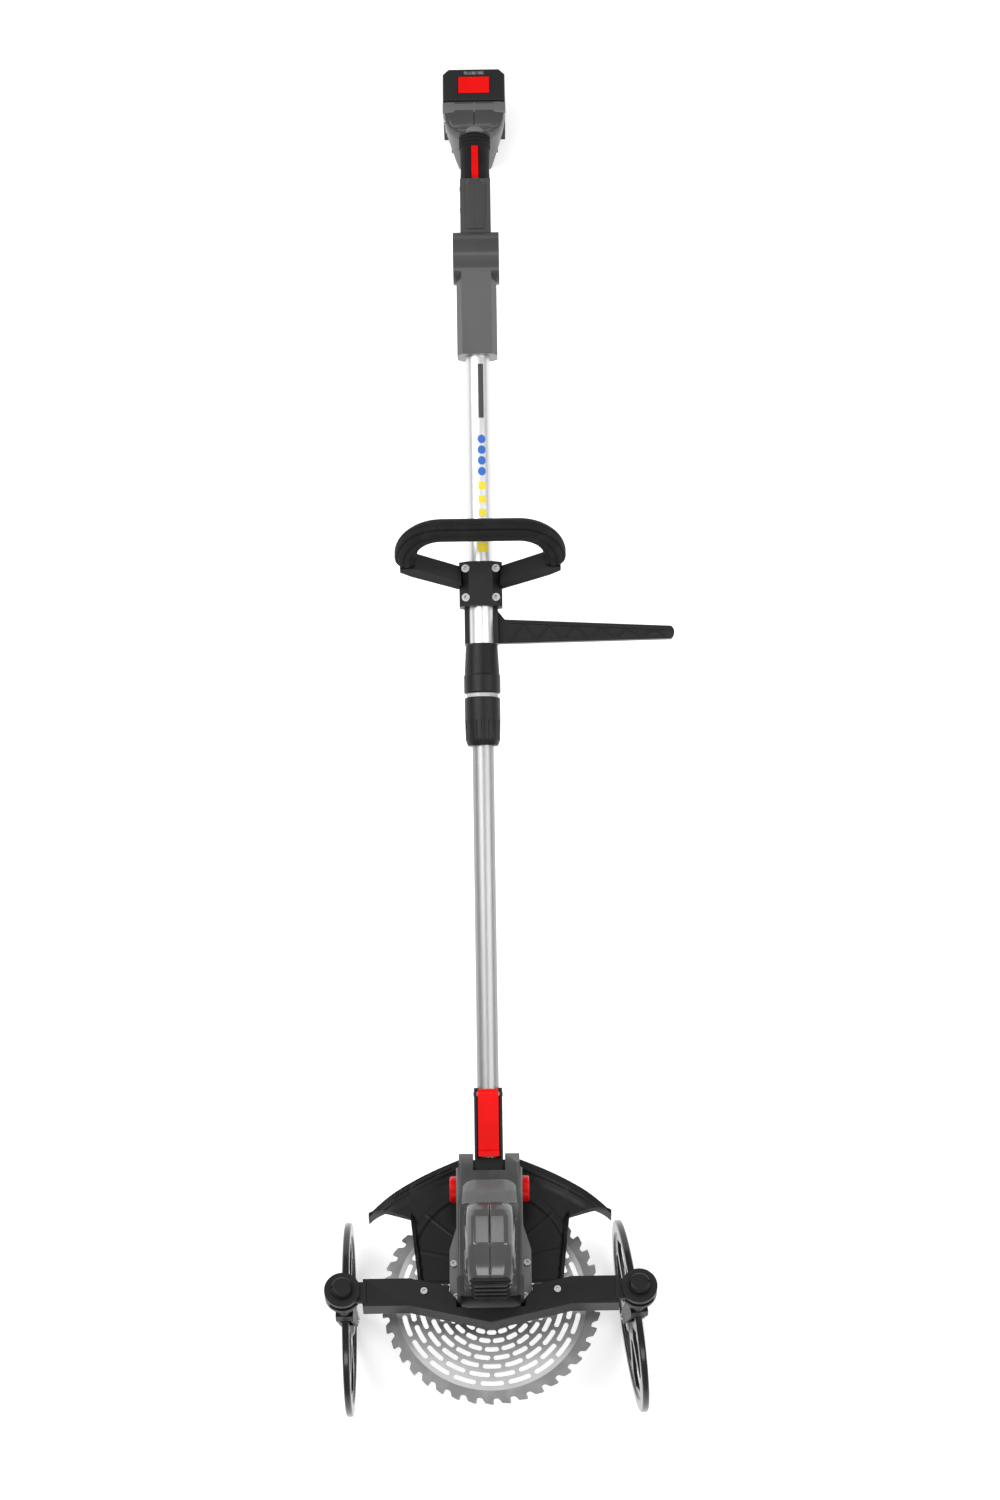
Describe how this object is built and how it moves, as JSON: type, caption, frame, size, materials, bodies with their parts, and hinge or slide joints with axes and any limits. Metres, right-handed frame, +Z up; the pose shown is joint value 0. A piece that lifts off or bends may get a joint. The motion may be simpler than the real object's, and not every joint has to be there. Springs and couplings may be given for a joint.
{
  "type": "battery brush cutter",
  "caption": "Battery brush cutter with telescopic tube, D-handle and barrier bar, tilting motor head, guarded saw blade and two swivelling wheels",
  "frame": {"origin": "centre of the overall box, on the floor the machine rests on", "axes": "+X across the machine towards the barrier bar, +Y along it from the cutting head to the battery, +Z up"},
  "size_m": [0.4152, 1.5996, 0.3627],
  "materials": {
    "housing_grey": "moulded mid grey, satin to glossy",
    "charcoal_plastic": "moulded charcoal, fine texture",
    "black_rubber": "soft grip rubber",
    "red_plastic": "saturated red controls",
    "bright_tube": "bright drawn aluminium",
    "grey_tube": "grey anodised aluminium",
    "band_grey": "lighter grey moulded trim",
    "steel": "turned and ground steel",
    "blade_steel": "ground blade steel with a grey rim",
    "screw_steel": "bright plated screws",
    "wheel_black": "moulded glossy black",
    "battery_grey": "dark grey pack shell",
    "window_smoke": "smoked indicator window",
    "cell_wrap": "shrink-wrapped cells",
    "copper": "copper winding and contacts",
    "board_green": "circuit board",
    "seal_white": "light seal ring",
    "lead_black": "insulated lead"
  },
  "bodies": {
    "root": {"handle_shell_left": "housing_grey", "handle_shell_right": "housing_grey", "handle_screws": "screw_steel", "grip_sleeve": "black_rubber", "trigger_switch": "charcoal_plastic", "control_board": "board_green", "terminal_block": "band_grey", "tube_socket": "housing_grey", "upper_tube": "bright_tube", "power_lead": "lead_black", "lock_sleeve": "charcoal_plastic", "collet": "band_grey", "seal_ring": "seal_white"},
    "front_handle": {"d_handle": "charcoal_plastic", "d_handle_grip": "black_rubber", "barrier_bar": "charcoal_plastic", "clamp_bolts": "screw_steel", "clamp_nuts": "screw_steel"},
    "lock_off": {"lock_off_lever": "red_plastic"},
    "trigger": {"trigger": "red_plastic"},
    "battery": {"battery_case": "battery_grey", "battery_cells": "cell_wrap", "battery_indicator": "window_smoke"},
    "battery_button": {"battery_release_button": "red_plastic"},
    "collar_nut": {"collar_nut": "charcoal_plastic"},
    "lower_shaft": {"lower_tube": "grey_tube", "neck_channel": "charcoal_plastic", "pivot_block": "charcoal_plastic", "motor_lead": "lead_black", "lever_pin": "steel"},
    "clamp_lever": {"clamp_lever": "red_plastic"},
    "head": {"motor_housing_left": "housing_grey", "motor_housing_right": "housing_grey", "vent_grille": "charcoal_plastic", "base_flange": "band_grey", "motor_can": "steel", "motor_stator": "copper", "bearings": "steel", "base_screws": "screw_steel", "blade_guard": "charcoal_plastic", "cross_beam": "charcoal_plastic", "hinge_pin": "steel", "button_springs": "steel"},
    "tilt_button_left": {"tilt_button_left": "red_plastic"},
    "tilt_button_right": {"tilt_button_right": "red_plastic"},
    "cutter": {"motor_rotor": "steel", "spindle": "steel", "blade_flange": "steel", "saw_blade": "blade_steel", "clamp_flange": "steel", "spindle_nut": "steel"},
    "caster_left": {"caster_fork_left": "charcoal_plastic", "caster_knob_left": "charcoal_plastic", "axle_left": "steel"},
    "caster_right": {"caster_fork_right": "charcoal_plastic", "caster_knob_right": "charcoal_plastic", "axle_right": "steel"},
    "wheel_left": {"wheel_left": "wheel_black"},
    "wheel_right": {"wheel_right": "wheel_black"}
  },
  "joints": [
    {"name": "front_handle_slide", "type": "slide", "parent": "root", "child": "front_handle", "axis": [0, 0.9963, -0.0854], "range_m": [0, 0.2]},
    {"name": "lock_off_press", "type": "hinge", "parent": "root", "child": "lock_off", "pos_m": [-0.01809, 0.66624, 0.12423], "axis": [-1, 0, 0], "range_deg": [0, 6], "stiffness_Nm_per_rad": 0.3, "springref_deg": -17.19},
    {"name": "trigger_pull", "type": "hinge", "parent": "root", "child": "trigger", "pos_m": [-0.01809, 0.61444, 0.11679], "axis": [1, 0, 0], "range_deg": [0, 12], "stiffness_Nm_per_rad": 0.5, "springref_deg": -17.19},
    {"name": "battery_slide", "type": "slide", "parent": "root", "child": "battery", "axis": [0, 0.3074, 0.9516], "range_m": [0, 0.11]},
    {"name": "battery_button_press", "type": "slide", "parent": "battery", "child": "battery_button", "axis": [0, -0.3074, -0.9516], "range_m": [0, 0.003], "stiffness_N_per_m": 500, "springref_m": -0.004},
    {"name": "collar_nut_twist", "type": "hinge", "parent": "root", "child": "collar_nut", "pos_m": [-0.01809, 0.02072, 0.19478], "axis": [0, 0.9963, -0.0854], "range_deg": [0, 120]},
    {"name": "telescope", "type": "slide", "parent": "root", "child": "lower_shaft", "axis": [0, 0.9963, -0.0854], "range_m": [-0.05, 0.22]},
    {"name": "clamp_lever_open", "type": "hinge", "parent": "lower_shaft", "child": "clamp_lever", "pos_m": [-0.01809, -0.40708, 0.25052], "axis": [-1, 0, 0], "range_deg": [0, 100]},
    {"name": "head_tilt", "type": "hinge", "parent": "lower_shaft", "child": "head", "pos_m": [-0.01809, -0.51731, 0.2409], "axis": [-1, 0, 0], "range_deg": [-25, 15]},
    {"name": "tilt_button_left_press", "type": "slide", "parent": "head", "child": "tilt_button_left", "axis": [1, 0, 0], "range_m": [0, 0.004], "stiffness_N_per_m": 800, "springref_m": -0.003},
    {"name": "tilt_button_right_press", "type": "slide", "parent": "head", "child": "tilt_button_right", "axis": [-1, 0, 0], "range_m": [0, 0.004], "stiffness_N_per_m": 800, "springref_m": -0.003},
    {"name": "blade_spin", "type": "hinge", "parent": "head", "child": "cutter", "pos_m": [-0.01809, -0.64836, 0.2136], "axis": [0, -0.4985, -0.8669], "continuous": true},
    {"name": "caster_left_swivel", "type": "hinge", "parent": "head", "child": "caster_left", "pos_m": [-0.18709, -0.62764, 0.28474], "axis": [0, 0.4985, 0.8669], "range_deg": [-12, 12]},
    {"name": "caster_right_swivel", "type": "hinge", "parent": "head", "child": "caster_right", "pos_m": [0.15091, -0.62764, 0.28474], "axis": [0, 0.4985, 0.8669], "range_deg": [-19.5, 4.5]},
    {"name": "wheel_left_roll", "type": "hinge", "parent": "caster_left", "child": "wheel_left", "pos_m": [-0.18709, -0.68579, 0.114], "axis": [1, 0, 0], "continuous": true},
    {"name": "wheel_right_roll", "type": "hinge", "parent": "caster_right", "child": "wheel_right", "pos_m": [0.14639, -0.68605, 0.11415], "axis": [0.9914, 0.1132, -0.0651], "continuous": true}
  ]
}
